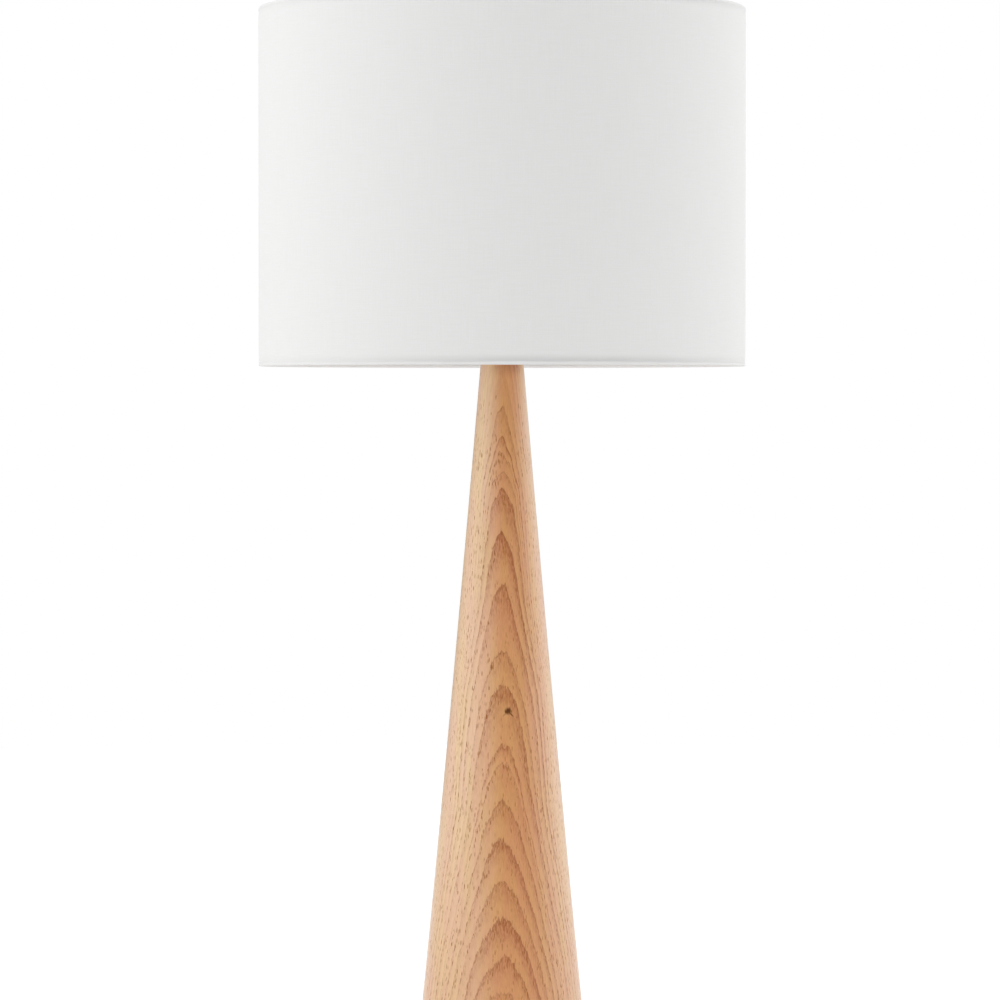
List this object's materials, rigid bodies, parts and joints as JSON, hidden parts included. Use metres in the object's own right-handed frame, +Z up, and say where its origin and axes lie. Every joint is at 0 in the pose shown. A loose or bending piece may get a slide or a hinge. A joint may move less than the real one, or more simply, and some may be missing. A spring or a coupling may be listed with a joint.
{
  "type": "table lamp",
  "caption": "Table lamp with a tall tapered turned wooden column and a white drum shade carried on a wire harp.",
  "frame": {"origin": "centre of the felt pad's underside, where the lamp stands on the table", "axes": "+Z up along the column; -Y towards the front, where the switch knob is; the cord inlet is at the back, +Y"},
  "size_m": [0.381, 0.381, 0.8198],
  "materials": {
    "ash_wood": "clear matt oil on turned ash, open grain",
    "felt": "pressed wool felt",
    "cast_iron": "rough casting",
    "zinc_steel": "zinc plated",
    "satin_brass": "satin brass",
    "black_phenolic": "moulded phenolic",
    "card": "vulcanised card",
    "white_linen": "fine white linen weave",
    "shade_film": "white laminating film, satin",
    "white_wire": "white powder coat",
    "bulb_plastic": "white moulded plastic",
    "bulb_glass": "frosted white diffuser",
    "cap_aluminium": "thin drawn shell",
    "circuit_board": "white coated board",
    "led_phosphor": "yellow phosphor",
    "bushing_plastic": "moulded nylon"
  },
  "bodies": {
    "stand": {"wood_column": "ash_wood", "felt_pad": "felt", "base_weight": "cast_iron", "foot_washer": "zinc_steel", "foot_lock_washer": "zinc_steel", "foot_nut": "zinc_steel", "threaded_rod": "zinc_steel", "cord_inlet_bushing": "bushing_plastic", "neck_ring": "satin_brass", "harp_saddle": "satin_brass", "saddle_nut": "zinc_steel", "holder_cap": "satin_brass", "holder_set_screw": "zinc_steel", "holder_shell": "satin_brass", "holder_liner": "card", "holder_interior": "black_phenolic", "screw_shell": "cap_aluminium", "centre_contact": "satin_brass", "contact_rivets": "satin_brass", "terminal_screw_left": "satin_brass", "terminal_screw_right": "zinc_steel", "switch_ferrule": "black_phenolic"},
    "switch": {"switch_rotor": "black_phenolic", "switch_spindle": "satin_brass", "switch_knob": "black_phenolic"},
    "harp": {"harp_wire": "satin_brass", "harp_stud": "satin_brass"},
    "sleeve_right": {"harp_sleeve_right": "satin_brass"},
    "sleeve_left": {"harp_sleeve_left": "satin_brass"},
    "shade": {"shade_top_ring": "white_wire", "shade_bottom_ring": "white_wire", "spider_arms": "white_wire", "spider_hub": "white_wire", "shade_liner": "shade_film", "shade_fabric": "white_linen"},
    "finial_carrier": {"finial_insert": "satin_brass"},
    "finial": {"finial_knob": "satin_brass"},
    "bulb_carrier": {"bulb_tip_contact": "cap_aluminium"},
    "bulb": {"bulb_insulator": "black_phenolic", "bulb_screw_cap": "cap_aluminium", "bulb_collar": "bulb_plastic", "bulb_board": "circuit_board", "bulb_leds": "led_phosphor", "bulb_globe": "bulb_glass"}
  },
  "joints": [
    {"name": "switch_turn", "type": "hinge", "parent": "stand", "child": "switch", "pos_m": [0, -0.0189, 0.583], "axis": [0, -1, 0], "continuous": true},
    {"name": "harp_lift", "type": "slide", "parent": "stand", "child": "harp", "axis": [0, 0, 1], "range_m": [0, 0.25]},
    {"name": "sleeve_right_slide", "type": "slide", "parent": "harp", "child": "sleeve_right", "axis": [0, 0, 1], "range_m": [0, 0.0155]},
    {"name": "sleeve_left_slide", "type": "slide", "parent": "harp", "child": "sleeve_left", "axis": [0, 0, 1], "range_m": [0, 0.0155]},
    {"name": "shade_swivel", "type": "hinge", "parent": "harp", "child": "shade", "pos_m": [0, 0, 0.7913], "axis": [0, 0, 1], "continuous": true},
    {"name": "finial_lift", "type": "slide", "parent": "harp", "child": "finial_carrier", "axis": [0, 0, 1], "range_m": [0, 0.01223]},
    {"name": "finial_turn", "type": "hinge", "parent": "finial_carrier", "child": "finial", "pos_m": [0, 0, 0.7928], "axis": [0, 0, 1], "range_deg": [-1, 4681]},
    {"name": "bulb_lift", "type": "slide", "parent": "stand", "child": "bulb_carrier", "axis": [0, 0, 1], "range_m": [0, 0.0254]},
    {"name": "bulb_turn", "type": "hinge", "parent": "bulb_carrier", "child": "bulb", "pos_m": [0, 0, 0.6007], "axis": [0, 0, 1], "range_deg": [-1, 2521]}
  ],
  "couplings": [
    {"joint": "finial_turn", "follows": "finial_lift", "rad_per_m": 6679},
    {"joint": "bulb_turn", "follows": "bulb_lift", "rad_per_m": 1731.4}
  ]
}
